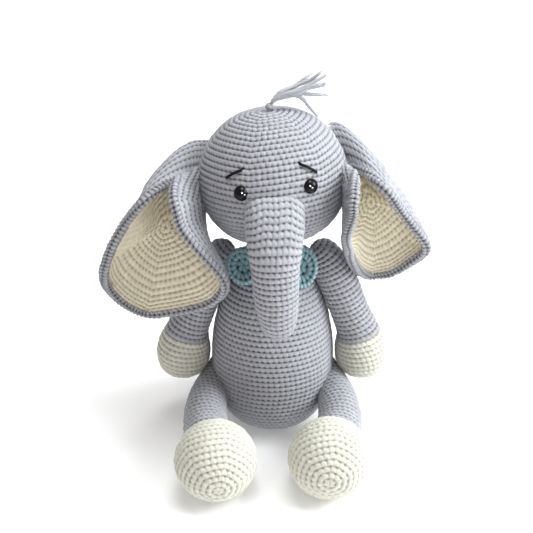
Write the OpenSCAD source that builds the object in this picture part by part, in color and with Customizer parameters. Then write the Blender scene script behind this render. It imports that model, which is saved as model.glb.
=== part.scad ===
// Hand-crocheted elephant, seated. Every part is a stuffed yarn cover, sewn or tied to its neighbour.
// The toy faces -Y, +X is its own left side, and the origin is the middle of the seat on the floor.

/* [Yarn] */
// Thickness of one crocheted cover
cover_t = 2.6; // [2:0.1:3]
// Gap left between parts that move on each other
free_gap = 0.4; // [0.3:0.1:0.6]

/* [Body] */
// Greatest radius of the belly
belly_r = 43.5; // [42:0.5:44]
// How far the seated body leans back, in degrees
body_lean = 8; // [6:1:9]

/* [Head] */
// Greatest radius of the head
head_r = 49.5; // [48:0.5:50]
// Height of the head's centre above the floor
head_z = 187; // [186:0.5:190]
// How far the face is turned up, in degrees
face_up = 9; // [7:1:11]

/* [Eyes] */
// Radius of a safety eye's dome
eye_r = 5; // [4:0.5:6]
// Radius of the eye's shaft
shaft_r = 2.2; // [1.8:0.1:2.5]
// Radius of the washer pressed on the shaft
washer_r = 6.5; // [5.5:0.5:7]

/* [Ears] */
// Radius of an ear's disc at its corners, before the edging
ear_r = 56; // [52:1:57]
// Radius of the edging's roll
edging_r = 2.2; // [1.8:0.1:2.4]
// How far an ear's outline is a hexagon rather than a circle
ear_hexagon = 0.75; // [0.5:0.05:1]

/* [Feet] */
// Radius of a foot
foot_r = 28; // [26:0.5:28]

/* [Hidden] */
$fn = 64;
left = 1;
right = -1;
grey_yarn = [0.70, 0.71, 0.75];
cream_yarn = [0.91, 0.88, 0.80];
teal_yarn = [0.50, 0.64, 0.68];
black = [0.05, 0.05, 0.06];
filling = [0.96, 0.96, 0.95];

// Outlines of the round covers, as [radius, height] from the lower pole up
body_outline = [[0.1, 0], [20, 0.5], [31, 7], [39, 20], [belly_r - 0.5, 38], [belly_r, 56],
                [belly_r - 2, 75], [belly_r - 6, 93], [32, 108], [26, 121], [20, 132], [15.5, 139], [0.1, 139.5]];
head_outline = [[0.1, -43], [20, -41], [36, -33], [head_r - 3, -18], [head_r, -3], [head_r - 2, 12],
                [40, 27], [28, 38], [14, 43.5], [0.1, 45]];

// Where the joints are
neck_pivot = [0.5, 19, 144];
neck_ball_r = 12;
trunk_pivot = [2, -45, 153];
trunk_ball_r = 14.6;
shoulder = [35, 15, 129];
hip = [45, -22, 29];
foot_centre = [38, -84, foot_r];
body_sink = 1;

// Routes of the curved parts, as [x, y, z, radius]; the arm's is the left one
trunk_route = [[1, -10, 178, 17], [1.4, -28, 174, 17.5], [1.8, -41, 164, 16], [2, -45, 153, 14.8],
               [2.5, -48.5, 134, 14.2], [3.4, -48, 118, 13], [4, -46, 108, 11.6], [4.2, -45.5, 102, 8],
               [4.2, -45.5, 99, 2]];
arm_route = [[28, 16, 137, 3], [31, 15.5, 134, 8.5], [35, 15, 129, 11.4], [41, 13.5, 120, 12.6],
             [48, 11, 106, 13], [54.5, 9, 88, 13], [59.5, 7.5, 73, 14.8], [62.5, 6.5, 62, 18],
             [64, 6, 50, 18.4], [65, 6, 41, 14], [65, 6, 36.5, 4]];
wrist_point = [59.7, 7.4, 72];
hair_route = [[0.8, 27.5, 236.5, 1.2], [3.5, 27.6, 238.5, 3], [11, 28.5, 243, 4.2], [22, 30.5, 247, 5],
              [34, 33, 249, 4.4], [41, 34.5, 250, 1.5]];
tail_route = [[0, 51.7, 40, 1.2], [0, 52.9, 40.4, 2.4], [0, 56, 40.8, 2.4], [0, 60, 37, 2.4], [0, 63, 29, 2.4], [0, 64.5, 21, 2.4]];
tassel_route = [[0, 64.7, 20.6, 2.6], [0, 65, 18, 4.2], [0, 65.5, 11, 4.6], [0, 66, 5, 3.6]];

// A smooth curve through points, with steps points on each stretch
function curve_point(p, i, t) =
    let (a = p[max(i - 1, 0)], b = p[i], c = p[i + 1], d = p[min(i + 2, len(p) - 1)])
    b + 0.5 * t * ((c - a) + t * ((2 * a - 5 * b + 4 * c - d) + t * (3 * b - a - 3 * c + d)));
function smooth(p, steps) =
    concat([for (i = [0:len(p) - 2]) for (k = [0:steps - 1]) curve_point(p, i, k / steps)], [p[len(p) - 1]]);
function unit(v) = v / norm(v);
function xyz(p) = [p[0], p[1], p[2]];

// A round outline moved inwards by t, square to its own slope
function inset(p, t) =
    let (n = len(p) - 1)
    [for (i = [0:n])
        let (d = unit(p[min(i + 1, n)] - p[max(i - 1, 0)]), q = p[i] - t * [d[1], -d[0]])
        i == 0 ? [0, p[0][1] + t] : i == n ? [0, p[n][1] - t] : [max(q[0], 0.05), q[1]]];
function closed(p) = concat([[0, p[0][1]]], [for (q = p) if (q[0] > 0.06) q], [[0, p[len(p) - 1][1]]]);

body_curve = smooth(body_outline, 2);
head_curve = smooth(head_outline, 2);
head_radii = [for (q = smooth(head_outline, 4)) [q[1], q[0]]];

// The solid inside a round outline, t in from its surface
module round_solid(curve, t) rotate_extrude() polygon(closed(inset(curve, t)));

// Places things that are described from the middle of the seat or of the head
module body_place() translate([0, 0, -body_sink]) rotate([-body_lean, 0, 0]) children();
module head_place() translate([0.8, 20, head_z]) rotate([0, 0, 2.5]) rotate([-face_up, 0, 0]) rotate([0, -5, 0]) children();

// A padded tube along a route, t in from its surface
module padded_tube(route, t, sides) {
    path = smooth(route, 2);
    n = len(path);
    points = [for (i = [0:n - 1])
        let (step = path[min(i + 1, n - 1)] - path[max(i - 1, 0)], run = norm(xyz(step)),
             d = xyz(step) / run, b = unit(cross(d, [1, 0, 0])), a = cross(b, d),
             slope = unit([run, step[3]]), r = max(path[i][3] - t * slope[0], 0.4))
        for (k = [0:sides - 1])
            xyz(path[i]) + d * t * slope[1] + r * (cos(360 * k / sides) * a + sin(360 * k / sides) * b)];
    walls = [for (i = [0:n - 2]) for (k = [0:sides - 1]) let (m = (k + 1) % sides)
        each [[i * sides + k, (i + 1) * sides + m, i * sides + m],
              [i * sides + k, (i + 1) * sides + k, (i + 1) * sides + m]]];
    ends = [[for (k = [0:sides - 1]) k], [for (k = [sides - 1:-1:0]) (n - 1) * sides + k]];
    polyhedron(points, concat(walls, ends));
}

// Body
module body_cover() color(grey_yarn) difference() {
    body_place() round_solid(body_curve, 0);
    intersection() {
        body_place() round_solid(body_curve, cover_t);
        translate([-60, -60, cover_t]) cube([120, 120, 160]);
    }
    translate([-60, -60, -20]) cube([120, 120, 20]);
}
module body_stuffing() color(filling) intersection() {
    body_place() round_solid(body_curve, cover_t + 0.1);
    translate([-60, -60, cover_t + 0.1]) cube([120, 120, 160]);
}

// Bow on the chest
module bow_loop(side) color(teal_yarn) hull() {
    translate([side * 9.5, -13.5, 137]) sphere(4, $fn = 24);
    translate([side * 26, -6, 145]) sphere(3.6, $fn = 24);
    translate([side * 25, -9.5, 129]) sphere(3.6, $fn = 24);
}
module bow_band() color(teal_yarn) hull() {
    translate([0, -15, 141]) sphere(4.8, $fn = 24);
    translate([0, -15, 132]) sphere(4.8, $fn = 24);
}

// Neck: the gathered ring of stitches that ties the head to the body
module neck_seam() color(grey_yarn) difference() {
    translate(neck_pivot) sphere(neck_ball_r);
    body_place() translate([0, 0, 139.8 + free_gap - 60]) cylinder(60, 40, 40);
}

// Head
module head_solid(t) head_place() round_solid(head_curve, t);
module eye_place(side) {
    v = 6;
    translate([0, 0, v]) rotate([0, 0, side * 27]) translate([0, -lookup(v, head_radii), 0]) rotate([83, 0, 0]) children();
}
module head_cover() color(grey_yarn) difference() {
    head_solid(0);
    difference() {
        head_solid(cover_t);
        translate(neck_pivot) sphere(neck_ball_r + free_gap + cover_t);
    }
    translate(neck_pivot) sphere(neck_ball_r + free_gap);
    head_place() for (side = [left, right]) eye_place(side) translate([0, 0, -10]) cylinder(20, r = shaft_r);
}
module head_stuffing() color(filling) difference() {
    head_solid(cover_t + 0.1);
    translate(neck_pivot) sphere(neck_ball_r + free_gap + cover_t + 0.1);
    head_place() for (side = [left, right]) eye_place(side) {
        translate([0, 0, -14]) cylinder(14, r = shaft_r + 0.1);
        translate([0, 0, -cover_t - 2.6]) cylinder(5, r = washer_r + 0.2);
    }
}
module eye(side) color(black) head_place() eye_place(side) {
    intersection() {
        translate([0, 0, -1.2]) sphere(eye_r + 0.2);
        cylinder(10, r = eye_r);
    }
    translate([0, 0, -12]) cylinder(12.5, r = shaft_r - 0.02);
}
module eye_washer(side) color("white") head_place() eye_place(side) translate([0, 0, -cover_t - 2.3]) difference() {
    cylinder(1.3, r = washer_r);
    translate([0, 0, -1]) cylinder(4, r = shaft_r);
}
// A brow's stitches run over the head from low and outside to high and inside
module eyebrow(side) color(black) head_place() for (k = [0:2]) hull() for (j = [k, k + 1]) {
    v = 17.5 + 8.5 * j / 3;
    translate([0, 0, v]) rotate([0, 0, side * (36 - 13 * j / 3)])
        translate([0, -lookup(v, head_radii) - 1, 0]) sphere(0.8, $fn = 12);
}
module hair_knot() color(grey_yarn) head_place() translate([0, 0, 48.6]) sphere(3.5);
module hair_strands() color([0.85, 0.84, 0.82]) padded_tube(hair_route, 0, 12);

// Trunk: its root stays on the face, and the rest swings from a round end
module trunk_root(t) difference() {
    padded_tube(trunk_route, t, 28);
    head_solid(0);
    translate(trunk_pivot) sphere(trunk_ball_r + free_gap + t);
    translate(trunk_pivot - [40, 40, 78.5 - t]) cube([80, 80, 80]);
    translate(trunk_pivot - [40, 80 + t, 40]) cube([80, 80, 48]);
}
module trunk_root_cover() color(grey_yarn) difference() {
    trunk_root(0);
    trunk_root(cover_t);
}
module trunk_root_stuffing() color(filling) trunk_root(cover_t + 0.1);
module trunk_hanging(t) union() {
    intersection() {
        padded_tube(trunk_route, t, 28);
        translate(trunk_pivot - [40, 40, 80]) cube([80, 80, 80]);
    }
    translate(trunk_pivot) sphere(trunk_ball_r - t, $fn = 28);
}
module trunk_cover() color(grey_yarn) difference() {
    trunk_hanging(0);
    trunk_hanging(cover_t);
}
module trunk_stuffing() color(filling) trunk_hanging(cover_t + 0.1);

// Ears: a flat hexagonal disc, folded lengthways along a spine that starts at the head.
// fold = [root, spine turn out, spine tilt, roll, bend forward, bend sideways,
//         outer flap root angle, outer flap end angle, its power, front flap root angle, end angle, its power]
left_fold = [[52, 16, 221], 8, -17, -36, -0.2, -0.22, 165, 66, 0.6, 168, 32, 1.2];
right_fold = [[-53, 16.4, 209], 7, -21.4, -29.6, -0.14, -0.24, 165, 59, 0.6, 172, 10, 1.35];
full_r = 60;
function hexagon_r(ph) = ear_hexagon * cos(30) / cos((ph + 3600) % 60 - 30) + 1 - ear_hexagon;
function ear_point(f, side, r, ph, off) =
    let (d = unit([side * sin(f[1]) * cos(f[2]), sin(f[2]), -cos(f[1]) * cos(f[2])]),
         n0 = unit([0, -1, 0] + d * d[1]), b0 = side * cross(d, n0),
         n = cos(f[3]) * n0 + sin(f[3]) * b0, b = side * cross(d, n),
         q = r * hexagon_r(ph), s = full_r - q * cos(ph), w = q * sin(ph),
         half = sqrt(max(full_r * full_r - (s - full_r) * (s - full_r), 196)), e = pow(max(1 - s / (2 * full_r), 0), w > 0 ? f[11] : f[8]),
         angle = w > 0 ? f[10] + (f[9] - f[10]) * e : f[7] + (f[6] - f[7]) * e,
         k = angle / half, turn = k * abs(w), flap = w > 0 ? 1 : -1, arc = 180 / (PI * k))
    f[0] + d * s + (n * f[4] + b * f[5]) * s * s / (2 * full_r)
        + b * flap * sin(turn) * arc + n * (1 - cos(turn)) * arc
        + off * (n * cos(turn) - b * flap * sin(turn));
// One layer of an ear, from offset low to offset high off the disc's middle
module ear_layer(f, side, low, high) {
    rounds = 7;
    steps = 36;
    points = concat([for (off = [low, high]) for (i = [1:rounds]) for (k = [0:steps - 1])
                        ear_point(f, side, ear_r * i / rounds, 360 * k / steps, off)],
                    [for (off = [low, high]) ear_point(f, side, 0, 90, off)]);
    upper = rounds * steps;
    middle = 2 * upper;
    skins = [for (i = [0:rounds - 2]) for (k = [0:steps - 1])
        let (m = (k + 1) % steps, a = i * steps + k, b = i * steps + m)
        each [[a, b, b + steps], [a, b + steps, a + steps],
              [upper + a, upper + b + steps, upper + b], [upper + a, upper + a + steps, upper + b + steps]]];
    centres = [for (k = [0:steps - 1]) let (m = (k + 1) % steps)
        each [[middle, m, k], [middle + 1, upper + k, upper + m]]];
    rim = [for (k = [0:steps - 1])
        let (a = upper - steps + k, b = upper - steps + (k + 1) % steps)
        each [[a, b, upper + b], [a, upper + b, upper + a]]];
    faces = concat(skins, centres, rim);
    polyhedron(points, side < 0 ? faces : [for (t = faces) [t[2], t[1], t[0]]]);
}
module ear_edging(f, side) {
    steps = 60;
    sides = 6;
    rim_r = ear_r + edging_r + 0.5;
    points = [for (k = [0:steps - 1]) for (j = [0:sides - 1])
        ear_point(f, side, rim_r + edging_r * cos(360 * j / sides), 360 * k / steps, edging_r * sin(360 * j / sides))];
    faces = [for (k = [0:steps - 1]) for (j = [0:sides - 1])
        let (a = k * sides + j, b = k * sides + (j + 1) % sides,
             c = (k + 1) % steps * sides + j, d = (k + 1) % steps * sides + (j + 1) % sides)
        each [[a, b, d], [a, d, c]]];
    polyhedron(points, side > 0 ? faces : [for (t = faces) [t[2], t[1], t[0]]]);
}
module ear_back(f, side) color(grey_yarn) ear_layer(f, side, -2.2, -0.05);
module ear_lining(f, side) color(cream_yarn) ear_layer(f, side, 0.05, 2.2);

// Arms: grey sleeve and cream hand are one tube, changing colour at the wrist
module arm_side(side) mirror([side < 0 ? 1 : 0, 0, 0]) children();
module arm_shell() difference() {
    padded_tube(arm_route, 0, 24);
    padded_tube(arm_route, cover_t, 24);
}
module below_wrist() translate(wrist_point) rotate([0, -17, 0]) translate([-40, -40, -60]) cube([80, 80, 60]);
module arm_cover(side) color(grey_yarn) arm_side(side) difference() {
    arm_shell();
    below_wrist();
}
module hand_cover(side) color(cream_yarn) arm_side(side) intersection() {
    arm_shell();
    below_wrist();
}
module arm_stuffing(side) color(filling) arm_side(side) padded_tube(arm_route, cover_t + 0.1, 24);

// Legs: a grey tube and a round cream foot on one straight line
leg_run = foot_centre - hip;
leg_length = norm(leg_run);
ankle_r = 16.5;
ankle_s = leg_length - sqrt(foot_r * foot_r - ankle_r * ankle_r);
leg_curve = smooth([[0.1, -10], [6, -8.5], [10, 0], [13.5, 10], [15.5, 20], [ankle_r, ankle_s]], 3);
foot_arc = [for (a = [-asin(sqrt(1 - pow(ankle_r / foot_r, 2))):6:88]) [foot_r * cos(a), leg_length + foot_r * sin(a)]];
leg_and_foot = concat(leg_curve, foot_arc, [[0.1, leg_length + foot_r]]);
module leg_place(side) mirror([side < 0 ? 1 : 0, 0, 0]) translate(hip)
    rotate([0, 0, atan2(leg_run[1], leg_run[0])]) rotate([0, acos(leg_run[2] / leg_length), 0]) children();
module leg_shell() difference() {
    round_solid(leg_and_foot, 0);
    round_solid(leg_and_foot, cover_t);
}
module past_ankle() translate([0, 0, ankle_s]) cylinder(100, 60, 60);
module leg_cover(side) color(grey_yarn) leg_place(side) difference() {
    leg_shell();
    past_ankle();
}
module foot_cover(side) color(cream_yarn) leg_place(side) intersection() {
    leg_shell();
    past_ankle();
}
module leg_stuffing(side) color(filling) leg_place(side) round_solid(leg_and_foot, cover_t + 0.1);

// Tail
module tail_cord() color(grey_yarn) padded_tube(tail_route, 0, 10);
module tail_tassel() color(grey_yarn) padded_tube(tassel_route, 0, 12);

body_cover();
body_stuffing();
bow_loop(left);  // left_bow_loop
bow_loop(right);  // right_bow_loop
bow_band();
neck_seam();
head_cover();
head_stuffing();
eye(left);  // left_eye
eye(right);  // right_eye
eye_washer(left);  // left_eye_washer
eye_washer(right);  // right_eye_washer
eyebrow(left);  // left_eyebrow
eyebrow(right);  // right_eyebrow
trunk_root_cover();
trunk_root_stuffing();
hair_knot();
hair_strands();
trunk_cover();
trunk_stuffing();
ear_back(left_fold, left);  // left_ear_back
ear_lining(left_fold, left);  // left_ear_lining
color(grey_yarn) ear_edging(left_fold, left);  // left_ear_edging
ear_back(right_fold, right);  // right_ear_back
ear_lining(right_fold, right);  // right_ear_lining
color(grey_yarn) ear_edging(right_fold, right);  // right_ear_edging
arm_cover(left);  // left_arm_cover
hand_cover(left);  // left_hand_cover
arm_stuffing(left);  // left_arm_stuffing
arm_cover(right);  // right_arm_cover
hand_cover(right);  // right_hand_cover
arm_stuffing(right);  // right_arm_stuffing
leg_cover(left);  // left_leg_cover
foot_cover(left);  // left_foot_cover
leg_stuffing(left);  // left_leg_stuffing
leg_cover(right);  // right_leg_cover
foot_cover(right);  // right_foot_cover
leg_stuffing(right);  // right_leg_stuffing
tail_cord();
tail_tassel();
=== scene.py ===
import math

import bpy
import numpy as np
from mathutils import Matrix, Vector


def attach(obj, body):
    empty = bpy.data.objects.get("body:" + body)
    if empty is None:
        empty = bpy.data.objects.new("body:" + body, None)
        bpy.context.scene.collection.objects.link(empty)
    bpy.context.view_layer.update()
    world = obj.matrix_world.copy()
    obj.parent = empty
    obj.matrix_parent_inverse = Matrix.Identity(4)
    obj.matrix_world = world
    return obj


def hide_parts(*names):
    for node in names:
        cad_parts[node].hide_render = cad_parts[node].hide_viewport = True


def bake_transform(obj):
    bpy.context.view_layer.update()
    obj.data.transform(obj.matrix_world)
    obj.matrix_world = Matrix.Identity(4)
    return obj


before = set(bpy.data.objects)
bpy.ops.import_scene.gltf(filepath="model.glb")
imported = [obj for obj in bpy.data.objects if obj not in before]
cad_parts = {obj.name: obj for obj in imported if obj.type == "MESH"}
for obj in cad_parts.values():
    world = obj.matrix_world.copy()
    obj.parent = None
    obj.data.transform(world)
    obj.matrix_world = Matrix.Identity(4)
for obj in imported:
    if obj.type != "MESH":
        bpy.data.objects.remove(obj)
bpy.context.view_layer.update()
MM = 0.001
rng = np.random.default_rng(7)

# ---------------------------------------------------------------- camera, table and light
# The toy sits on a plain white table, seen from above at a little over thirty degrees. Soft light
# comes from all round, with a broad window on the toy's left and a lamp overhead. Two small
# windows in front show only as glints.
look_down = math.radians(34.5)
looked_at = Vector((0, -0.015, 0.105))
camera_distance = 0.85
away = Vector((0, -math.cos(look_down), math.sin(look_down)))
camera = bpy.data.objects.new("camera", bpy.data.cameras.new("camera"))
bpy.context.scene.collection.objects.link(camera)
camera.data.sensor_width = 36
camera.data.lens = 84.43
camera.data.shift_x = -0.0113
camera.data.shift_y = 0.076
camera.location = looked_at + away * camera_distance
camera.rotation_euler = (math.pi / 2 - look_down, 0, 0)
bpy.context.scene.camera = camera

bpy.ops.mesh.primitive_plane_add(size=8, location=(0, 0, 0))
table = bpy.context.object
table.name = "table"
table_paint = bpy.data.materials.new("white_table")
table_paint.use_nodes = True
table_shader = table_paint.node_tree.nodes["Principled BSDF"]
table_shader.inputs["Base Color"].default_value = (0.95, 0.95, 0.95, 1)
table_shader.inputs["Roughness"].default_value = 0.9
table_shader.inputs["Emission Color"].default_value = (1, 1, 1, 1)
table_shader.inputs["Emission Strength"].default_value = 0.14
table.data.materials.append(table_paint)

world = bpy.data.worlds.new("studio")
bpy.context.scene.world = world
world.use_nodes = True
world.node_tree.nodes["Background"].inputs["Color"].default_value = (1, 0.95, 0.91, 1)
world.node_tree.nodes["Background"].inputs["Strength"].default_value = 0.37
bpy.context.scene.view_settings.view_transform = "Standard"


def lamp(name, place, size, watts, colour=(1, 1, 1)):
    """A square lamp that faces the middle of the toy."""
    light = bpy.data.lights.new(name, "AREA")
    light.size = size
    light.energy = watts
    light.color = colour
    holder = bpy.data.objects.new(name, light)
    bpy.context.scene.collection.objects.link(holder)
    holder.location = place
    holder.rotation_euler = (Vector((0, 0, 0.1)) - Vector(place)).to_track_quat("-Z", "Y").to_euler()
    return holder


lamp("big_window", (1.2, -0.1, 0.96), 0.9, 31, (0.93, 0.98, 1))
lamp("overhead", (0.1, 0.1, 1.6), 0.8, 17, (0.95, 0.98, 1))
lamp("small_window", (0.12, -1.10, 0.84), 0.36, 80).visible_diffuse = False
lamp("low_window", (0.62, -0.80, 0.20), 0.28, 36).visible_diffuse = False


# ---------------------------------------------------------------- body
# One bag of single crochet in grey cotton, worked in rounds from the seat up to the neck
# and filled with fibre, so it is a leaning pear that is flat only where it sits.
stitch_w = 4.0 * MM
row_h = 4.15 * MM
columns_per_stitch = 7
lines_per_row = 6
plain_line_step = 2.2 * MM
plump_spread = 0.09
cover_sink = 0.45
hexagon_strength = 0.45
hexagon_reach = 95


def smooth(points, steps):
    """A smooth curve through points, with steps places on each stretch."""
    p = np.array(points, float)
    made = []
    for i in range(len(p) - 1):
        a, b, c, d = p[max(i - 1, 0)], p[i], p[i + 1], p[min(i + 2, len(p) - 1)]
        square, cube = 2 * a - 5 * b + 4 * c - d, 3 * b - a - 3 * c + d
        for k in range(steps):
            t = k / steps
            made.append(b + 0.5 * t * ((c - a) + t * (square + t * cube)))
    return np.array(made + [p[-1]])


def turned(outline, place, steps=4, around=72, inset=0.7, corner=None):
    """Rings for a round shape given as [radius, height] in mm, set inward for the yarn; corner bends
    its rounds near the top into hexagons with one corner at that angle."""
    p = smooth(outline, steps)
    d = np.gradient(p, axis=0)
    d /= np.linalg.norm(d, axis=1)[:, None]
    p = p - inset * np.stack([d[:, 1], -d[:, 0]], 1)
    p[:, 0] = np.maximum(p[:, 0], 0.05)
    run = np.concatenate([[0], np.cumsum(np.linalg.norm(np.diff(p, axis=0), axis=1))])
    th = np.linspace(0, 2 * np.pi, around, endpoint=False)
    at = np.repeat(run[:, None], around, 1)
    if corner is not None:
        from_top = run[-1] - at
        from_side = (th - math.radians(corner)) % (math.pi / 3) - math.pi / 6
        hexagon = math.cos(math.pi / 6) / np.cos(from_side) - 0.93
        fade = hexagon_strength * np.clip(1 - from_top / hexagon_reach, 0, 1)
        at = run[-1] - np.clip(from_top * (1 + hexagon * fade), 0, run[-1])
    r, z = np.interp(at, run, p[:, 0]), np.interp(at, run, p[:, 1])
    rings = np.stack([r * np.cos(th), r * np.sin(th), z], -1) * MM
    m = np.array(place)
    return rings @ m[:3, :3].T + m[:3, 3]


def between(rings, i, j):
    """Points at fractional rings i and columns j of a ring grid, on a smooth surface through it."""
    n, m = rings.shape[:2]
    i0 = np.clip(np.floor(i).astype(int), 0, n - 2)
    j0 = np.floor(j).astype(int)
    ti, tj = i - i0, j - j0

    def weights(t):
        return np.stack([-t + 2 * t**2 - t**3, 2 - 5 * t**2 + 3 * t**3,
                         t + 4 * t**2 - 3 * t**3, t**3 - t**2]) / 2

    wi, wj = weights(ti), weights(tj)
    total = np.zeros((len(i), len(j), 3))
    for a in range(4):
        row = rings[np.clip(i0 + a - 1, 0, n - 1)]
        for b in range(4):
            total += row[:, (j0 + b - 1) % m] * (wi[a][:, None] * wj[b][None, :])[..., None]
    return total


def stitch_relief(u, v, groove):
    """Height of a single crochet stitch, 0 to 1, and the painted shade of its hollows, 0 to 1; u runs across it
    and v up it, and groove is the depth of the gap beside it."""
    lean = (u + 0.25 * (v - 0.5)) % 1
    beside = np.minimum(lean, 1 - lean)
    low = 0.20 * np.exp(-((beside / 0.24) ** 2))
    t = np.clip((v - low) / (1 - low), 0, 1)
    ridge = np.clip(1 - (2 * t - 1) ** 2, 0, 1) ** 0.5
    tile = 1 - groove * np.exp(-((beside / 0.15) ** 2))
    hole = np.exp(-((beside / 0.32) ** 2) - ((v - 0.06) / 0.12) ** 2)
    nick = np.exp(-(((lean - 0.55) / 0.09) ** 2) - ((v - 0.75) / 0.2) ** 2)
    height = (0.40 + 0.60 * ridge) * tile - 0.42 * hole - 0.10 * nick
    # Painted shade: darkest in the hole at the foot of the stitch, then along the valley between rows and in
    # the gap beside the stitch.
    painted_shade = np.clip(0.66 * hole + 0.34 * (1 - ridge) + groove * (1 - tile), 0, 1)
    return height, painted_shade


def solid(name, points, quads, tris, material, uv=None, attributes=None):
    """A closed, smooth shaded mesh object from arrays of points and corners."""
    mesh = bpy.data.meshes.new(name)
    quads, tris = np.array(quads, np.int32).reshape(-1, 4), np.array(tris, np.int32).reshape(-1, 3)
    mesh.vertices.add(len(points))
    mesh.vertices.foreach_set("co", np.asarray(points, np.float32).ravel())
    mesh.loops.add(quads.size + tris.size)
    mesh.loops.foreach_set("vertex_index", np.concatenate([quads.ravel(), tris.ravel()]))
    mesh.polygons.add(len(quads) + len(tris))
    starts = np.concatenate([np.arange(len(quads)) * 4, quads.size + np.arange(len(tris)) * 3])
    mesh.polygons.foreach_set("loop_start", starts.astype(np.int32))
    mesh.update(calc_edges=True)
    if uv is not None:
        mesh.uv_layers.new(name="rounds").data.foreach_set("uv", uv.astype(np.float32).ravel())
    for key, values in (attributes or {}).items():
        mesh.attributes.new(key, "FLOAT", "POINT").data.foreach_set("value", np.asarray(values, np.float32))
    mesh.polygons.foreach_set("use_smooth", np.ones(len(mesh.polygons), bool))
    mesh.materials.append(material)
    piece = bpy.data.objects.new(name, mesh)
    bpy.context.scene.collection.objects.link(piece)
    return piece


def crochet(name, rings, material, part=(0, 1), worked=(0, 1), wide=stitch_w, high=row_h, thick=1.3 * MM,
            drift=0.14, groove=0.28, loop=False, floor_z=None):
    """A closed cover worked in rounds over a ring grid, from share part[0] to part[1] of its length.
    Rounds outside the worked share are left plain. With loop its last round joins its first. Each
    round is shifted by about drift stitches from the one before."""
    a, b, c = rings[:-1], np.roll(rings, -1, 1)[:-1], rings[1:]
    if (np.cross(b - a, c - a) * (a - rings.mean((0, 1)))).sum() < 0:
        rings = rings[:, ::-1]
    run = np.concatenate([[0], np.cumsum(np.linalg.norm(np.diff(rings, axis=0), axis=2).mean(1))])
    start, end = part[0] * run[-1], part[1] * run[-1]
    w0, w1 = max(worked[0] * run[-1], start), min(worked[1] * run[-1], end)
    rows = max(1, round((w1 - w0) / high))
    at = w0 + (w1 - w0) * np.arange(rows * lines_per_row + 1) / (rows * lines_per_row)
    v_all = np.arange(len(at)) / lines_per_row
    before = np.arange(start, w0 - 1e-9, plain_line_step)
    after = np.arange(w1, end - 1e-9, plain_line_step)[1:]
    after = np.append(after, end) if w1 < end - 1e-9 else after
    plain = np.concatenate([np.ones(len(before)), np.zeros(len(at)), np.ones(len(after))])
    v_all = np.concatenate([np.zeros(len(before)), v_all, np.full(len(after), rows)])
    at = np.concatenate([before, at, after])
    where = np.interp(at, run, np.arange(len(run)))
    middle = np.interp(w0 + (w1 - w0) * (np.arange(rows) + 0.5) / rows, run, np.arange(len(run)))
    rounds = between(rings, middle, np.arange(rings.shape[1]).astype(float))
    girth = np.linalg.norm(rounds - np.roll(rounds, 1, 1), axis=2).sum(1)
    counts = np.maximum(6, np.round(girth / wide)).astype(int)
    columns = columns_per_stitch * counts.max()
    base = between(rings, where, np.arange(columns) * rings.shape[1] / columns)
    along = np.gradient(base, axis=0)
    across = np.roll(base, -1, 1) - np.roll(base, 1, 1)
    out = np.cross(across, along)
    out /= np.maximum(np.linalg.norm(out, axis=2), 1e-12)[..., None]
    row = np.minimum(np.floor(v_all).astype(int), rows - 1)
    offset = np.cumsum(rng.normal(drift, 0.05, rows))
    u_all = counts[row][:, None] * np.arange(columns + 1) / columns + offset[row][:, None]
    number = np.floor(u_all[:, :-1]).astype(int) % counts[row][:, None]
    height, painted_shade = stitch_relief(u_all[:, :-1] % 1, np.repeat((v_all - row)[:, None], columns, 1), groove)
    plump = rng.normal(1, plump_spread, (rows, counts.max() + 1))[row[:, None], number]
    tone = rng.normal(0, 1, (rows, counts.max() + 1))[row[:, None], number]
    small = np.clip(girth[row] / counts[row] / wide, 0.3, 1)[:, None]
    raised = np.where(plain[:, None] > 0, 0, height * plump * small - cover_sink)
    points = base + out * (thick * raised)[..., None]
    if floor_z is not None:
        points[..., 2] = np.maximum(points[..., 2], floor_z)
    lines = len(at) if not loop else len(at) - 1
    points = points[:lines]
    k, j = np.meshgrid(np.arange(lines if loop else lines - 1), np.arange(columns), indexing="ij")
    k, j = k.ravel(), j.ravel()
    n, up = (j + 1) % columns, (k + 1) % lines
    quads = np.stack([k * columns + j, k * columns + n, up * columns + n, up * columns + j], 1)
    corners = ((j, k), (j + 1, k), (j + 1, k + 1), (j, k + 1))
    uv = np.stack([np.stack([u_all[k, column], v_all[line]], 1) for column, line in corners], 1).reshape(-1, 2)
    tris = np.zeros((0, 3), int)
    points = points.reshape(-1, 3)
    # Painted shade: plain rounds get an even 0.3 of it, and the two closing points below get 0.5.
    painted_shade = np.where(plain[:lines, None] > 0, 0.3, painted_shade[:lines]).ravel()
    tone = tone[:lines].ravel()
    if not loop:
        i, m = np.arange(columns), (np.arange(columns) + 1) % columns
        top = (lines - 1) * columns
        tris = np.concatenate([np.stack([m, i, np.full(columns, len(points))], 1),
                               np.stack([top + i, top + m, np.full(columns, len(points) + 1)], 1)])
        points = np.concatenate([points, [points[:columns].mean(0), points[top:].mean(0)]])
        painted_shade, tone = np.append(painted_shade, [0.5, 0.5]), np.append(tone, [0, 0])
        uv = np.concatenate([uv, np.zeros((len(tris) * 3, 2))])
    return solid(name, points, quads, tris, material, uv, {"hollow_shade": painted_shade, "tone": tone})


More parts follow.
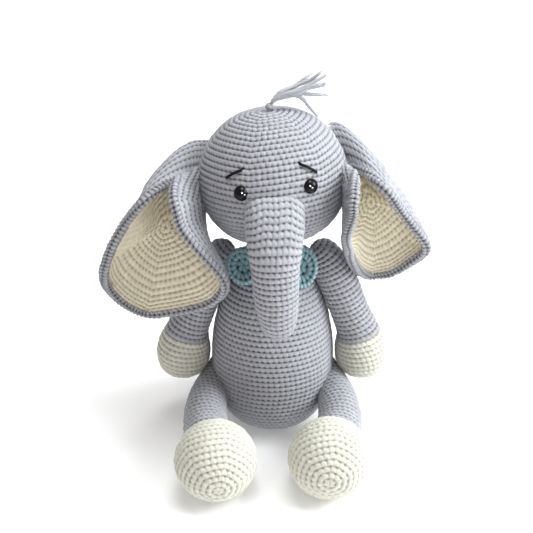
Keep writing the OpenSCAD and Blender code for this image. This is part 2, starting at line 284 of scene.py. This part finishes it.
def yarn(name, colour, painted_shade_colour, plies=5.0, uneven_by=0.10):
    """Matte plied yarn with painted shade: its colour is mixed towards a dark shade colour in the hollows
    between stitches.
    It is a little different from stitch to stitch, with the twist as fine ridges."""
    material = bpy.data.materials.new(name)
    material.use_nodes = True
    nodes, links = material.node_tree.nodes, material.node_tree.links
    shader = nodes["Principled BSDF"]
    shader.inputs["Roughness"].default_value = 0.85
    shader.inputs["Specular IOR Level"].default_value = 0.06
    shader.inputs["Sheen Weight"].default_value = 0.1
    shader.inputs["Sheen Roughness"].default_value = 0.5
    hollow_shade, tone = nodes.new("ShaderNodeAttribute"), nodes.new("ShaderNodeAttribute")
    hollow_shade.attribute_name, tone.attribute_name = "hollow_shade", "tone"
    place = nodes.new("ShaderNodeTexCoord")
    speckle, patches = nodes.new("ShaderNodeTexNoise"), nodes.new("ShaderNodeTexNoise")
    speckle.inputs["Scale"].default_value = 900
    speckle.inputs["Detail"].default_value = 3
    patches.inputs["Scale"].default_value = 26
    links.new(place.outputs["Object"], speckle.inputs["Vector"])
    links.new(place.outputs["Object"], patches.inputs["Vector"])
    # Painted shade: mixes the yarn colour towards its shade colour by the hollow shade of each point.
    depth = nodes.new("ShaderNodeMix")
    depth.data_type = "RGBA"
    depth.inputs["A"].default_value = (*colour, 1)
    depth.inputs["B"].default_value = (*painted_shade_colour, 1)
    links.new(hollow_shade.outputs["Fac"], depth.inputs["Factor"])
    strength = None
    for source, share in ((speckle, 0.26), (patches, uneven_by), (tone, 0.025)):
        step = nodes.new("ShaderNodeMath")
        step.operation = "MULTIPLY_ADD"
        step.inputs[1].default_value = share
        links.new(source.outputs["Fac"], step.inputs[0])
        if strength is None:
            step.inputs[2].default_value = 0.86 - uneven_by / 2
        else:
            links.new(strength, step.inputs[2])
        strength = step.outputs[0]
    tinted = nodes.new("ShaderNodeVectorMath")
    tinted.operation = "SCALE"
    links.new(depth.outputs["Result"], tinted.inputs[0])
    links.new(strength, tinted.inputs["Scale"])
    links.new(tinted.outputs[0], shader.inputs["Base Color"])
    twist = nodes.new("ShaderNodeTexWave")
    twist.bands_direction = "DIAGONAL"
    twist.inputs["Scale"].default_value = plies
    twist.inputs["Distortion"].default_value = 1.2
    rounds = nodes.new("ShaderNodeUVMap")
    rounds.uv_map = "rounds"
    links.new(rounds.outputs["UV"], twist.inputs["Vector"])
    fuzz, strands = nodes.new("ShaderNodeBump"), nodes.new("ShaderNodeBump")
    fuzz.inputs["Strength"].default_value = 0.35
    fuzz.inputs["Distance"].default_value = 0.00025
    strands.inputs["Strength"].default_value = 0.4
    strands.inputs["Distance"].default_value = 0.0003
    links.new(speckle.outputs["Fac"], fuzz.inputs["Height"])
    links.new(twist.outputs["Fac"], strands.inputs["Height"])
    links.new(fuzz.outputs["Normal"], strands.inputs["Normal"])
    links.new(strands.outputs["Normal"], shader.inputs["Normal"])
    return material


# Each yarn's second colour is the painted shade it turns to in the hollows between stitches.
grey_yarn = yarn("grey_yarn", (0.43, 0.435, 0.47), (0.045, 0.04, 0.05))
cream_yarn = yarn("cream_yarn", (0.70, 0.695, 0.62), (0.34, 0.30, 0.20))
# The ear linings are the same cream yarn as the hands and feet; this warmer copy paints on the warm bounce
# light in the shade inside the ears, with a painted shade colour of its own for the hollows.
shaded_lining_yarn = yarn("shaded_lining_yarn", (0.77, 0.71, 0.56), (0.42, 0.34, 0.21))

body_outline = [[0.1, 0], [20, 0.5], [31, 7], [39, 20], [43, 38], [43.5, 56], [41.5, 75], [37.5, 93],
                [32, 108], [26, 121], [20, 132], [15.5, 139], [8, 140.5], [0.1, 141]]
body_place = Matrix.Translation((0, 0, -0.001)) @ Matrix.Rotation(math.radians(-8), 4, "X")
body = crochet("body_crochet", turned(body_outline, body_place), grey_yarn, wide=3.8 * MM, high=3.75 * MM,
               floor_z=0.0002)
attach(body, "torso")
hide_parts("body_cover")


# ---------------------------------------------------------------- neck
# The gathered edge between head and body: a short crocheted tube that the head turns and nods on.
neck_outline = [[0.1, -9], [13, -8.5], [16, -4], [15.5, 2], [13, 7], [0.1, 9]]
neck_place = Matrix.Translation(Vector((0.5, 19, 144)) * MM) @ Matrix.Rotation(math.radians(-8), 4, "X")
neck = crochet("neck_crochet", turned(neck_outline, neck_place), grey_yarn)
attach(neck, "neck")
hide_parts("neck_seam")


# ---------------------------------------------------------------- head
# A ball of single crochet, a little wider than tall, with its face turned up. The rounds near
# the crown are hexagons, because stitches are added at the same six places in every round.
head_outline = [[0.1, -43.5], [20.4, -41.5], [36.7, -33.3], [47.3, -18], [50.2, -3], [48.2, 12], [40.6, 27],
                [28.4, 38.4], [14.2, 44], [0.1, 45.3]]
head_place = (Matrix.Translation(Vector((0.3, 20, 187)) * MM) @ Matrix.Rotation(math.radians(2.5), 4, "Z")
              @ Matrix.Rotation(math.radians(-9), 4, "X") @ Matrix.Rotation(math.radians(-5), 4, "Y"))
head = crochet("head_crochet", turned(head_outline, head_place, corner=-110), grey_yarn, wide=3.6 * MM,
               high=3.75 * MM, drift=0.4)
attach(head, "head")
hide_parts("head_cover")


# ---------------------------------------------------------------- eyes
# Two black safety eyes: a polished dome moulded on a shaft that goes through the cover to a washer.
eye_plastic = bpy.data.materials.new("eye_plastic")
eye_plastic.use_nodes = True
eye_shader = eye_plastic.node_tree.nodes["Principled BSDF"]
eye_shader.inputs["Base Color"].default_value = (0.006, 0.006, 0.008, 1)
eye_shader.inputs["Roughness"].default_value = 0.07
eye_shader.inputs["Specular IOR Level"].default_value = 0.18
for node in ("left_eye", "right_eye"):
    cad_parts[node].data.materials.clear()
    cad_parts[node].data.materials.append(eye_plastic)


# ---------------------------------------------------------------- eyebrows
# One long stitch of doubled black thread over each eye, slanting down to the outside.
brow_thread = bpy.data.materials.new("brow_thread")
brow_thread.use_nodes = True
brow_shader = brow_thread.node_tree.nodes["Principled BSDF"]
brow_shader.inputs["Base Color"].default_value = (0.006, 0.006, 0.008, 1)
brow_shader.inputs["Roughness"].default_value = 0.8
brow_shader.inputs["Specular IOR Level"].default_value = 0.05
brow_radius = 0.64 * MM


def tube(path, radius, around=10, twist=0.0, ply=0.0, taper=1.0):
    """Points and faces of a closed tube along path; ply makes its section a three-lobed twisted
    strand, and taper is the share of the radius left at the far end."""
    p = np.array(path, float)
    r = np.full(len(p), radius) * np.interp(np.linspace(0, 1, len(p)), [0, 0.85, 1], [1, 1, taper])
    d = np.gradient(p, axis=0)
    d /= np.linalg.norm(d, axis=1)[:, None]
    side = np.cross(d[0], [0.3, 0.5, 0.81])
    frames = []
    for way in d:
        side = side - way * (side @ way)
        side = side / np.linalg.norm(side)
        frames.append((side, np.cross(way, side)))
    th = np.linspace(0, 2 * np.pi, around, endpoint=False)
    turn = twist * np.concatenate([[0], np.cumsum(np.linalg.norm(np.diff(p, axis=0), axis=1))])
    rho = r[:, None] * (1 - ply * (0.5 - 0.5 * np.cos(3 * (th[None] - turn[:, None]))))
    a, b = np.array([f[0] for f in frames]), np.array([f[1] for f in frames])
    section = np.cos(th)[None, :, None] * a[:, None] + np.sin(th)[None, :, None] * b[:, None]
    rings = p[:, None] + rho[..., None] * section
    n = len(p)
    k, j = np.meshgrid(np.arange(n - 1), np.arange(around), indexing="ij")
    k, j = k.ravel(), j.ravel()
    m = (j + 1) % around
    quads = np.stack([k * around + j, k * around + m, (k + 1) * around + m, (k + 1) * around + j], 1)
    i, m = np.arange(around), (np.arange(around) + 1) % around
    low, high = n * around, n * around + 1
    tris = np.concatenate([np.stack([m, i, np.full(around, low)], 1),
                           np.stack([(n - 1) * around + i, (n - 1) * around + m, np.full(around, high)], 1)])
    return np.concatenate([rings.reshape(-1, 3), [p[0], p[-1]]]), quads, tris


def gathered(name, tubes, material):
    """One object made of several closed tubes."""
    points, quads, tris, count = [], [], [], 0
    for p, q, t in tubes:
        points.append(p)
        quads.append(q + count)
        tris.append(t + count)
        count += len(p)
    points = np.concatenate(points)
    made = solid(name, points, np.concatenate(quads), np.concatenate(tris), material,
                 attributes={"hollow_shade": np.zeros(len(points)), "tone": np.zeros(len(points))})
    made.data.uv_layers.new(name="rounds")
    return made


def on_head(angle, height, lift):
    """A point over the head at an angle from the middle of the face (its left is positive), a height
    and a lift off the surface."""
    profile = smooth(head_outline, 6)
    r = np.interp(height, profile[:, 1], profile[:, 0]) + lift
    a = math.radians(angle)
    return np.array(head_place @ Vector((r * math.sin(a) * MM, -r * math.cos(a) * MM, height * MM)))


for side, sign, outer, inner in (("left", 1, (34.3, 13.6), (22.8, 20.6)),
                                 ("right", -1, (38.5, 15.3), (26, 20.4))):
    threads = []
    for strand in (-0.3, 0.35):
        path = []
        for t, lift in ((-0.1, -2.0), (0, 0.6), (0.25, 1.3), (0.6, 1.5), (0.9, 1.1), (1.0, 0.4), (1.1, -2.0)):
            arch = 0.6 * math.sin(math.pi * min(max(t, 0), 1))
            angle = outer[0] + (inner[0] - outer[0]) * t
            height = outer[1] + (inner[1] - outer[1]) * t
            path.append(on_head(sign * angle, height + arch + strand, lift))
        threads.append(tube(smooth(path, 5), brow_radius, around=8))
    brow = gathered(side + "_brow_stitch", threads, brow_thread)
    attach(brow, "head")
    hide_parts(side + "_eyebrow")


# ---------------------------------------------------------------- trunk
# A narrower tube sewn to the face with a squared, gathered top edge, that hangs straight down
# in front of the chest and closes in a rounded tip.
def along_route(route, steps=4, around=48, inset=0.7, mirror=1, level=(1, 0, 0)):
    """Rings round a route of [x, y, z, radius, second radius, squareness] in mm. The last two may be
    left out; mirror -1 gives the other side's, and level is the first radius's direction."""
    p = smooth([list(q) + [q[3], 2][len(q) - 4:] for q in route], steps)
    p[:, 0] *= mirror
    d = np.gradient(p[:, :4], axis=0)
    run = np.linalg.norm(d[:, :3], axis=1)
    way = d[:, :3] / run[:, None]
    slope = np.stack([run, d[:, 3]], 1)
    slope /= np.linalg.norm(slope, axis=1)[:, None]
    b = np.cross(way, level)
    b /= np.linalg.norm(b, axis=1)[:, None]
    a = np.cross(b, way)
    ra = np.maximum(p[:, 3] - inset * slope[:, 0], 0.05)[:, None]
    rb = np.maximum(p[:, 4] - inset * slope[:, 0], 0.05)[:, None]
    centre = p[:, :3] + way * (inset * slope[:, 1])[:, None]
    th = np.linspace(0, 2 * np.pi, around, endpoint=False)[None]
    power = p[:, 5:6]
    full = (np.abs(np.cos(th)) ** power + np.abs(np.sin(th)) ** power) ** (-1 / power)
    across, through = ra * full * np.cos(th), rb * full * np.sin(th)
    return (centre[:, None] + across[..., None] * a[:, None] + through[..., None] * b[:, None]) * MM


trunk_route = [[1.2, -8, 186, 19.5, 16, 3.4], [1.3, -27, 180, 19.6, 17.3, 3.2],
               [1.5, -41, 167.5, 17.6, 16.6, 2.6], [1.8, -46, 154, 15.6, 15.2, 2.2], [2.5, -48.5, 134, 14.6],
               [3.4, -48, 120.5, 12.8], [4, -46, 112, 11.4], [4.2, -45.5, 106.5, 8.5], [4.2, -45.5, 103, 1]]
trunk_rings = along_route(trunk_route)
wander = np.linspace(0, 2 * np.pi, trunk_rings.shape[1], endpoint=False)
near_root = np.exp(-((np.arange(len(trunk_rings)) - 5) / 3.2) ** 2)
flow = np.gradient(trunk_rings, axis=0)
flow /= np.linalg.norm(flow, axis=2)[..., None]
puckers = (0.9 * np.sin(3 * wander + 0.9) + 0.7 * np.sin(8 * wander + 2)) * MM
trunk_rings += flow * (near_root[:, None] * puckers[None])[..., None]
trunk = crochet("trunk_crochet", trunk_rings, grey_yarn, wide=3.55 * MM, high=3.55 * MM)
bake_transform(trunk)
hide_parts("trunk_root_cover", "trunk_root_stuffing", "trunk_cover", "trunk_stuffing")


# ---------------------------------------------------------------- arms and hands
# Grey sleeves sewn on below the neck, closed at the wrist, with a cream ball for each hand.
arm_route = [[28, 16, 137, 3], [31, 15.5, 134, 8.5], [35, 15, 129, 11.4], [40, 13.5, 120, 13.4],
             [46.8, 11, 106, 13.8], [53.6, 9, 88, 13.6], [59.5, 7.5, 73, 14.8], [62.5, 6.5, 61, 18.4],
             [64, 6, 49, 19], [65, 6, 39, 14.5], [65, 6, 34.5, 3]]
wrist_z = 0.0725
for side, mirror in (("left", 1), ("right", -1)):
    rings = along_route(arm_route, mirror=mirror)
    middles = rings.mean(1)
    run = np.concatenate([[0], np.cumsum(np.linalg.norm(np.diff(middles, axis=0), axis=1))])
    wrist = run[np.argmin(abs(middles[:, 2] - wrist_z))] / run[-1]
    for piece, part, paint, slot, name in (("sleeve", (0, wrist), grey_yarn, "grey_yarn", "_arm_cover"),
                                          ("hand", (wrist, 1), cream_yarn, "cream_yarn", "_hand_cover")):
        made = crochet(f"{side}_{piece}_crochet", rings, paint, part=part, wide=3.6 * MM, high=3.6 * MM)
        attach(made, side + "_arm")
        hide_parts(side + name)


# ---------------------------------------------------------------- legs and feet
# Grey tubes gathered flat at the hip and sewn along the sides of the body, lying on the table,
# each ending in a cream ball worked from a ring in the middle of the sole.
leg_route = [[37, 17, 41, 1.5], [38.5, 12, 40, 6], [41, 4, 37.5, 8], [43, -7, 34, 11.5],
             [45.5, -20, 31, 13.9], [47, -36, 29.5, 15], [46, -50, 28.5, 15.8], [44, -61, 28.3, 16.4],
             [42.5, -67, 28, 12], [42, -69, 28, 2]]
foot_ball = [[0.1, -23], [9, -22.5], [16.4, -22.4], [21.5, -17.9], [25.6, -11.4], [27.7, -4], [27.8, 3.4],
             [26, 10.5], [22.4, 16.8], [17.3, 22], [11, 25.7], [5, 27.5], [0.1, 28]]
for side, mirror, foot_y, sole_x, sole_z in (("left", 1, -81.5, -0.03, 0.05), ("right", -1, -84, 0.10, -0.13)):
    leg = crochet(side + "_leg_crochet", along_route(leg_route, mirror=mirror), grey_yarn, wide=3.6 * MM,
                  high=3.7 * MM)
    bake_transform(leg)
    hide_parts(side + "_leg_cover", side + "_leg_stuffing")
    sole = Vector((sole_x, -0.99, sole_z)).normalized()
    foot_place = (Matrix.Translation(Vector((38 * mirror, foot_y, 28)) * MM)
                  @ Vector((0, 0, 1)).rotation_difference(sole).to_matrix().to_4x4())
    foot = crochet(side + "_foot_crochet", turned(foot_ball, foot_place, corner=20), cream_yarn, floor_z=0.0002)
    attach(foot, side + "_leg")
    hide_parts(side + "_foot_cover")


# ---------------------------------------------------------------- ears
# Each ear is two crocheted hexagons laid back to back, grey outside and cream inside, folded down
# its middle and curling at the front, with a thick grey edging round both. A fold is its root, the
# turn, tilt and roll of its middle line, its bend and lean, and how its back and front flaps curl.
# The ears are soft, so they are pulled from that even fold: in mm across and up at the rim every
# 20 degrees (the last is at the centre), then across, up and back for the bulge inside the rim.
ear_folds = {"left": [[52, 16, 221], 8, -17, -36, -0.2, -0.22, 165, 66, 0.6, 168, 32, 1.2],
             "right": [[-53, 16.4, 209], 7, -21.4, -29.6, -0.14, -0.24, 165, 59, 0.6, 172, 10, 1.35]}
ear_pulls = {
    "left": [[-4.2, -14.7], [1.3, -7.6], [-0.5, -4.5], [-5.7, -2.1], [0.8, 6.4], [1.3, 11.5], [2.0, 19.4],
             [2.3, 15.7], [-1.5, 10.9], [-7.3, 8.3], [-7.9, 0.9], [-6.9, 0.9], [-4.1, 2.8], [-11.0, 0.8],
             [-16.1, -1.5], [-15.4, -6.5], [-17.2, -7.4], [-14.1, -9.9], [2.8, 11.1]],
    "right": [[5.4, -10.0], [-7.9, -2.6], [-12.0, 1.9], [-11.7, 4.8], [-16.0, 6.3], [-5.8, 5.2], [8.0, 4.9],
             [10.3, -1.3], [2.4, -3.4], [-2.9, -3.8], [-4.1, -6.0], [-5.5, -1.4], [-0.4, 1.8], [1.1, 0.3],
             [4.6, 1.7], [5.8, -0.9], [12.8, -1.7], [15.1, -5.4], [-6.7, 5.8]],
}
ear_hoods = {
    "left": [[-22.0, 27.3, 12], [-13.0, 16.3, 20], [-2.6, 7.4, 22], [2.4, 2.9, 22], [0.5, -0.1, 18],
             [-0.0, -1.8, 10], [-0.5, -6.1, 3], [0, 0, 0], [0, 0, 0], [0, 0, 0], [0, 0, 0], [0, 0, 0],
             [0, 0, 0], [4.9, -6.7, 3], [0.8, 0.3, 5], [-10.0, 11.3, 8], [-15.3, 23.7, 12], [-18.8, 31.1, 14]],
    "right": [[16.9, 28.9, 12], [13.8, 20.2, 20], [8.7, 10.1, 26], [5.1, 6.1, 28], [6.6, 6.8, 24],
             [4.4, 5.9, 14], [5.6, 2.1, 4], [0, 0, 0], [0, 0, 0], [0, 0, 0], [0, 0, 0], [0, 0, 0], [0, 0, 0],
             [-0.1, -8.7, 3], [6.4, -3.2, 3], [8.1, 10.2, 5], [9.2, 22.3, 8], [10.2, 29.4, 12]],
}
ear_sink = {"left": 19, "right": 13}
rim_r = 56.0
ear_length = 120
edging_out, edging_thick = 2.7, 2.9
layer_faces = (1.7, 0.15)
up_view = np.array([0, math.sin(look_down), math.cos(look_down)])
deep_view = -np.array(away)


def ear_middle(side, r, ph):
    """The ear's middle surface, in mm, at r mm from its centre and ph degrees round from its root."""
    sign = 1 if side == "left" else -1
    root, turn, tilt, roll, bend, lean, *curls = ear_folds[side]
    back_root, back_end, back_pow, front_root, front_end, front_pow = curls
    turn, tilt, roll = math.radians(turn), math.radians(tilt), math.radians(roll)
    d = np.array([sign * math.sin(turn) * math.cos(tilt), math.sin(tilt), -math.cos(turn) * math.cos(tilt)])
    n0 = np.array([0, -1, 0]) + d * d[1]
    n0 /= np.linalg.norm(n0)
    b0 = sign * np.cross(d, n0)
    n = math.cos(roll) * n0 + math.sin(roll) * b0
    b = sign * np.cross(d, n)
    hexagon = 0.75 * math.cos(math.pi / 6) / np.cos(np.radians(ph % 60 - 30)) + 0.25
    q = r * hexagon
    s, w = ear_length / 2 - q * np.cos(np.radians(ph)), q * np.sin(np.radians(ph))
    half = np.sqrt(np.maximum((ear_length / 2) ** 2 - (s - ear_length / 2) ** 2, 14**2))
    e = np.maximum(1 - s / ear_length, 0)
    front = front_end + (front_root - front_end) * e**front_pow
    behind = back_end + (back_root - back_end) * e**back_pow
    k = np.where(w > 0, front, behind) / half
    curl, flap, arc = np.radians(k * abs(w)), np.where(w > 0, 1, -1), 180 / (math.pi * k)
    point = (np.array(root) + d * s[..., None] + (n * bend + b * lean) * (s * s / ear_length)[..., None]
             + b * (flap * np.sin(curl) * arc)[..., None] + n * ((1 - np.cos(curl)) * arc)[..., None])
    pulls = np.array(ear_pulls[side])
    rim = smooth(np.concatenate([pulls[:18], pulls[:1]]), 20)
    rim_at = np.stack([np.interp(ph % 360, np.arange(361), rim[:, c]) for c in (0, 1)], -1)
    share = np.clip(r / rim_r, 0, 1.1)[..., None] ** 2
    pull = pulls[18] * (1 - share) + rim_at * share
    hoods = np.array(ear_hoods[side], float)
    bulge = smooth(np.concatenate([hoods, hoods[:1]]), 20)
    t = np.clip(r / rim_r, 0, 1)
    bulge_at = np.stack([np.interp(ph % 360, np.arange(361), bulge[:, c]) for c in (0, 1, 2)], -1)
    bulge_at *= (6.75 * t * t * (1 - t))[..., None]
    near = np.minimum(ph % 360, 360 - ph % 360)
    back = ear_sink[side] * np.exp(-((near / 32) ** 2)) * share[..., 0] + bulge_at[..., 2]
    moved = pull + bulge_at[..., :2]
    return point + moved[..., :1] * np.array([1, 0, 0]) + moved[..., 1:] * up_view + back[..., None] * deep_view


for side in ("left", "right"):
    around = 96
    ph = np.arange(around) * 360 / around
    radii = np.concatenate([[0.4], np.linspace(3, rim_r, 20)])
    r_grid, ph_grid = np.meshgrid(radii, ph, indexing="ij")
    middle = ear_middle(side, r_grid, ph_grid)
    normal = np.cross(np.roll(middle, -1, 1) - np.roll(middle, 1, 1), np.gradient(middle, axis=0))
    normal /= np.linalg.norm(normal, axis=2)[..., None]
    if (normal[8].mean(0) @ (middle[-1].mean(0) - middle[0].mean(0))) < 0:
        normal = -normal
    for piece, paint, slot, out, node in (("lining", shaded_lining_yarn, "cream_yarn", 1, "_ear_lining"),
                                         ("back", grey_yarn, "grey_yarn", -1, "_ear_back")):
        outer, inner = (middle + normal * out * depth for depth in layer_faces)
        rings = np.concatenate([outer, inner[::-1]]) * MM
        made = crochet(f"{side}_ear_{piece}_crochet", rings, paint, worked=(0, 0.497), thick=1.0 * MM)
        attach(made, side + "_ear")
        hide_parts(side + node)
    # The edging follows the rim, evened out so that it has no kinks.
    fine = np.arange(180) * 2.0
    line = ear_middle(side, np.full((1, 180), rim_r), fine[None])[0]
    outward = line - ear_middle(side, np.full((1, 180), rim_r - 3), fine[None])[0]
    for times in range(40):
        outward = (np.roll(outward, 1, 0) + 2 * outward + np.roll(outward, -1, 0)) / 4
        if times < 10:
            line = (np.roll(line, 1, 0) + 2 * line + np.roll(line, -1, 0)) / 4
    onward = np.roll(line, -1, 0) - np.roll(line, 1, 0)
    onward /= np.linalg.norm(onward, axis=1)[:, None]
    outward -= onward * (outward * onward).sum(1)[:, None]
    outward /= np.linalg.norm(outward, axis=1)[:, None]
    face = np.cross(onward, outward)
    turn = np.linspace(0, 2 * np.pi, 13)
    rings = np.stack([line + outward * (1.0 + edging_out * math.cos(t)) + face * edging_thick * math.sin(t)
                      for t in turn]) * MM
    made = crochet(side + "_ear_edging_crochet", rings, grey_yarn, high=4.4 * MM, wide=3.1 * MM,
                   thick=1.6 * MM, groove=0.75, loop=True)
    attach(made, side + "_ear")
    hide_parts(side + "_ear_edging")


# ---------------------------------------------------------------- bow
# A soft crocheted bow in thick teal yarn: two round, dimpled puffs held by a band, sewn under the chin.
# Its second colour is the painted shade in the hollows between stitches.
teal_yarn = yarn("teal_yarn", (0.30, 0.475, 0.515), (0.03, 0.065, 0.075), plies=3.0)
puff = [[0.1, -5], [7, -4.6], [11, -2.8], [12.9, 0.4], [12.8, 3.2], [10.9, 5], [8.2, 4], [4.5, 1.4], [0.1, 0.6]]
for side, x, z, tall in (("left", 18.5, 135.8, 1.2), ("right", -19, 136.8, 1.0)):
    facing = Vector((0.012 * x, -0.93, 0.28)).normalized()
    puff_place = (Matrix.Translation(Vector((x, -12, z)) * MM) @ Matrix.Diagonal((0.9, 1, tall, 1))
                  @ Vector((0, 0, 1)).rotation_difference(facing).to_matrix().to_4x4())
    loop_piece = crochet(side + "_bow_crochet", turned(puff, puff_place), teal_yarn, wide=3.0 * MM,
                         high=4.9 * MM, thick=1.9 * MM, drift=0.5, groove=0.5)
    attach(loop_piece, "torso")
    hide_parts(side + "_bow_loop")
band_route = [[0, -14.5, 143.5, 1], [0, -15, 142.5, 4.5], [0, -15.5, 137, 5.2], [0, -15.3, 131, 4.5],
              [0, -15, 130, 1]]
band = crochet("bow_band_crochet", along_route(band_route), teal_yarn, wide=4.6 * MM, high=3.6 * MM,
               thick=1.6 * MM)
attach(band, "torso")
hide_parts("bow_band")


# ---------------------------------------------------------------- hair
# A little knot on the crown, and from it a tuft of cut yarn ends that sweeps to the left of the
# toy and frays; one end droops beside the others.
# Its second colour is a painted shade colour that goes unused, as the strands carry no hollow shade.
hair_yarn = yarn("hair_yarn", (0.56, 0.57, 0.61), (0.2, 0.2, 0.22))
knot_centre = np.array(head_place @ Vector((1.9 * MM, 0, 47.6 * MM)))
knot_turns = []
for lean in (0.0, 1.1, 2.2):
    t = np.linspace(0, 2 * np.pi, 25)
    ring = np.stack([np.cos(t), np.sin(t) * math.cos(lean), np.sin(t) * math.sin(lean)], 1) * 1.5 * MM
    knot_turns.append(tube(knot_centre + ring, 1.0 * MM, around=8))
knot_turns.append(tube(knot_centre + np.linspace([-1.2, 0, 0], [1.2, 0, 0], 5) * MM, 1.6 * MM, around=10))
knot = gathered("hair_knot_yarn", knot_turns, grey_yarn)
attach(knot, "head")
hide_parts("hair_knot")
hair_start = np.array([-0.6, 27.5, 236.2])
strand_ends = [[[1.6, 27.5, 239.4], [7, 28, 244.5], [16, 29, 248], [24, 29, 252], [30.5, 29, 256]],
               [[1.8, 28.5, 239.4], [7.5, 29.5, 243], [17, 31, 245], [26, 32, 247], [33, 32, 248.6]],
               [[1.6, 27, 239.2], [8, 26, 243.5], [17, 26, 246.5], [26, 27, 250.5], [33.5, 27, 254.5]],
               [[1.2, 29, 239.4], [6, 31, 243.5], [14, 33, 246.5], [20, 34, 249.5], [24, 34.5, 252.5]],
               [[1.5, 28, 239], [8, 28.5, 241], [17, 29.5, 241.5], [26, 30.5, 241], [34, 31, 240.6]],
               [[1.8, 27, 239], [8.5, 27, 242], [16.5, 28, 243.5], [24, 29, 245.5], [32, 29, 247.2]],
               [[1.8, 28, 238.5], [8, 28.8, 240], [14.5, 29.5, 241], [20, 30.5, 238.5], [24.5, 31.5, 232.5],
                [28.3, 32, 226.2]]]
strand_radius, fibre_radius = 1.45 * MM, 0.28 * MM
for number, ends in enumerate(strand_ends, 1):
    stray = rng.normal(0, 0.35, (len(ends), 3)) * np.linspace(0.4, 1.4, len(ends))[:, None]
    bend = np.array(ends) + stray
    path = smooth([hair_start, *bend], 9) * MM
    strands = [tube(path, strand_radius, around=12, twist=700, ply=0.30, taper=0.6)]
    onward = (path[-1] - path[-3]) / np.linalg.norm(path[-1] - path[-3])
    for _ in range(7):
        tip = path[-1] + onward * 1.6 * MM + rng.normal(0, 0.55, 3).clip(-1, 1) * MM
        way = [path[-7], path[-4] + rng.normal(0, 0.3, 3) * MM, tip]
        strands.append(tube(smooth(way, 5), fibre_radius, around=5, taper=0.4))
    made = gathered(f"hair_strand_{number}", strands, hair_yarn)
    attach(made, "hair")
    if number == 1:
        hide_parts("hair_strands")


# ---------------------------------------------------------------- tail
# A short crocheted cord sewn on low behind, ending in a tassel of the same yarn.
tail_route = [[0, 50.5, 40, 1.2], [0, 52.9, 40.4, 2.4], [0, 56, 40.8, 2.4], [0, 60, 37, 2.4],
              [0, 63, 29, 2.4], [0, 64.5, 21, 2.4], [0, 64.6, 19.5, 1]]
tail = crochet("tail_cord_crochet", along_route(tail_route), grey_yarn, wide=2.6 * MM, high=3.4 * MM,
               thick=0.9 * MM)
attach(tail, "tail")
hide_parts("tail_cord")
tassel_threads = []
thread_count = 14
for n in range(thread_count):
    a = n * 2.4
    wide_at = 0.6 + 3.0 * math.sqrt((n + 0.5) / thread_count)
    low_end = np.array([wide_at * math.cos(a) * 1.25, 66 + wide_at * math.sin(a), 3.2 + rng.uniform(-0.8, 1.5)])
    belly = np.array([wide_at * math.cos(a) * 1.1, 65.6 + wide_at * math.sin(a), 12])
    thread_path = smooth([[0, 64.7, 20.8], belly, low_end], 8) * MM
    tassel_threads.append(tube(thread_path, 0.85 * MM, around=9, twist=900, ply=0.28))
tassel = gathered("tail_tassel_yarn", tassel_threads, grey_yarn)
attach(tassel, "tail")
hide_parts("tail_tassel")
